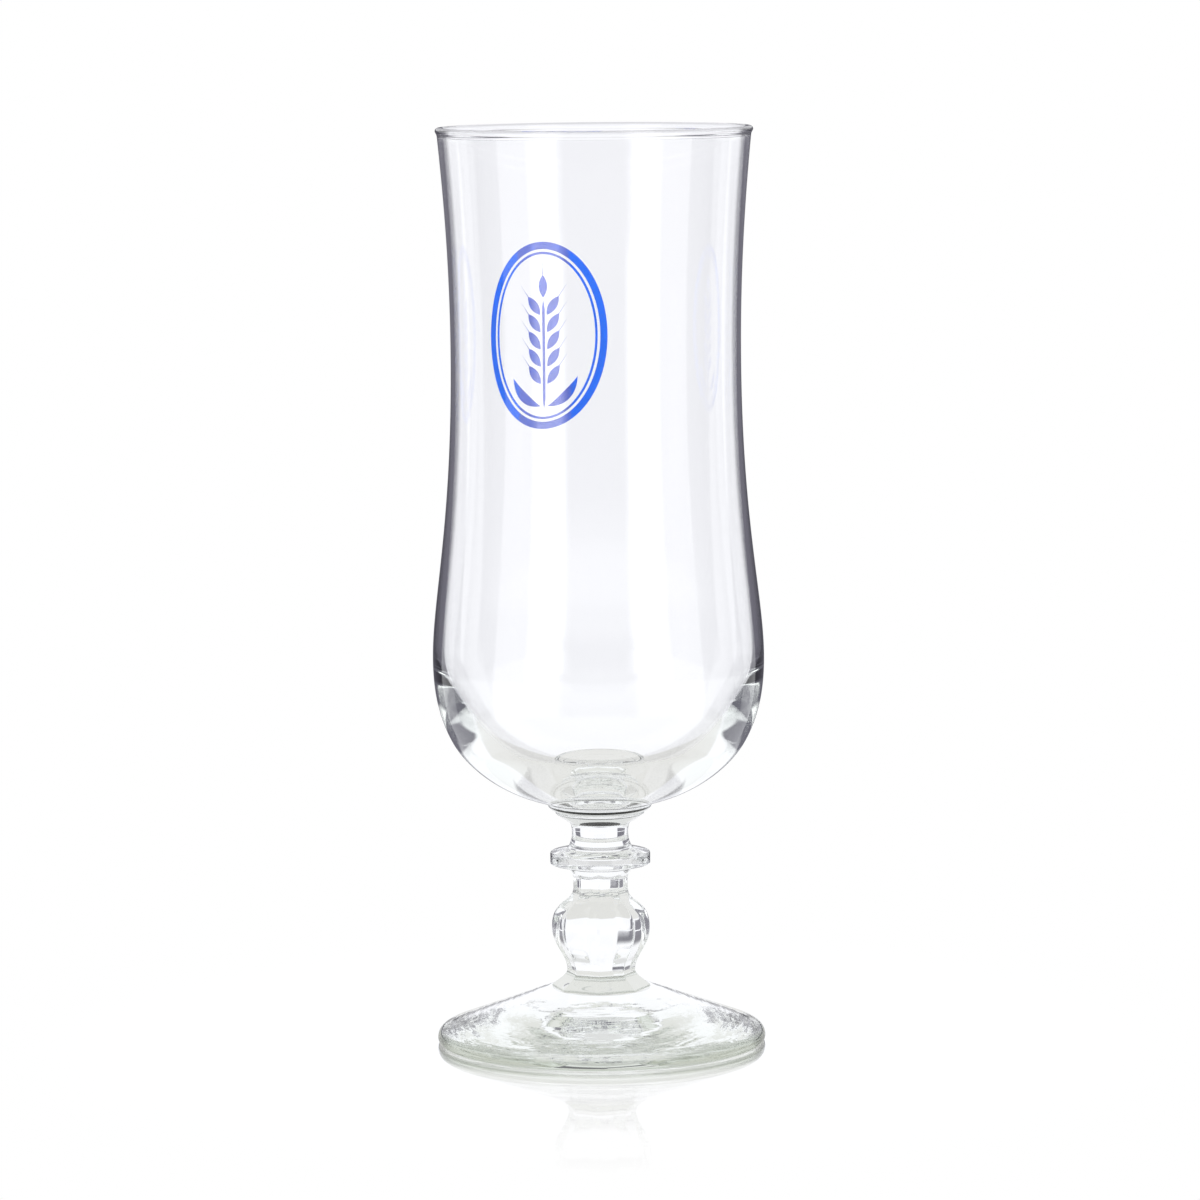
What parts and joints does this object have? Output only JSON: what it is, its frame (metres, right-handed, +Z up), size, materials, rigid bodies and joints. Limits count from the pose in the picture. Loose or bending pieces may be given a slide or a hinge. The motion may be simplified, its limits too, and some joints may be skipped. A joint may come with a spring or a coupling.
{
  "type": "beer glass",
  "caption": "Tall waisted beer glass with a ringed, eight-sided pressed stem, a round foot and a fired enamel badge.",
  "frame": {"origin": "centre of the standing ring under the foot, on the surface that the glass stands on", "axes": "+Z up along the glass's axis of turning; +Y away from the viewer, towards the back wall that carries the badge; +X to the viewer's right"},
  "size_m": [0.066, 0.066, 0.183],
  "materials": {
    "clear_glass": "clear soda-lime glass, fire polished",
    "band_enamel": "fired enamel, semi-gloss",
    "ear_enamel": "fired enamel, semi-gloss"
  },
  "bodies": {
    "root": {"foot": "clear_glass", "stem": "clear_glass", "stem_plate": "clear_glass", "bowl": "clear_glass", "print_band": "band_enamel", "print_inner_line": "band_enamel", "print_stalk": "ear_enamel", "print_grain_left_1": "ear_enamel", "print_grain_left_2": "ear_enamel", "print_grain_left_3": "ear_enamel", "print_grain_left_4": "ear_enamel", "print_grain_left_5": "ear_enamel", "print_grain_right_1": "ear_enamel", "print_grain_right_2": "ear_enamel", "print_grain_right_3": "ear_enamel", "print_grain_right_4": "ear_enamel", "print_grain_right_5": "ear_enamel", "print_grain_top": "ear_enamel", "print_leaf_left": "ear_enamel", "print_leaf_right": "ear_enamel"}
  },
  "joints": []
}
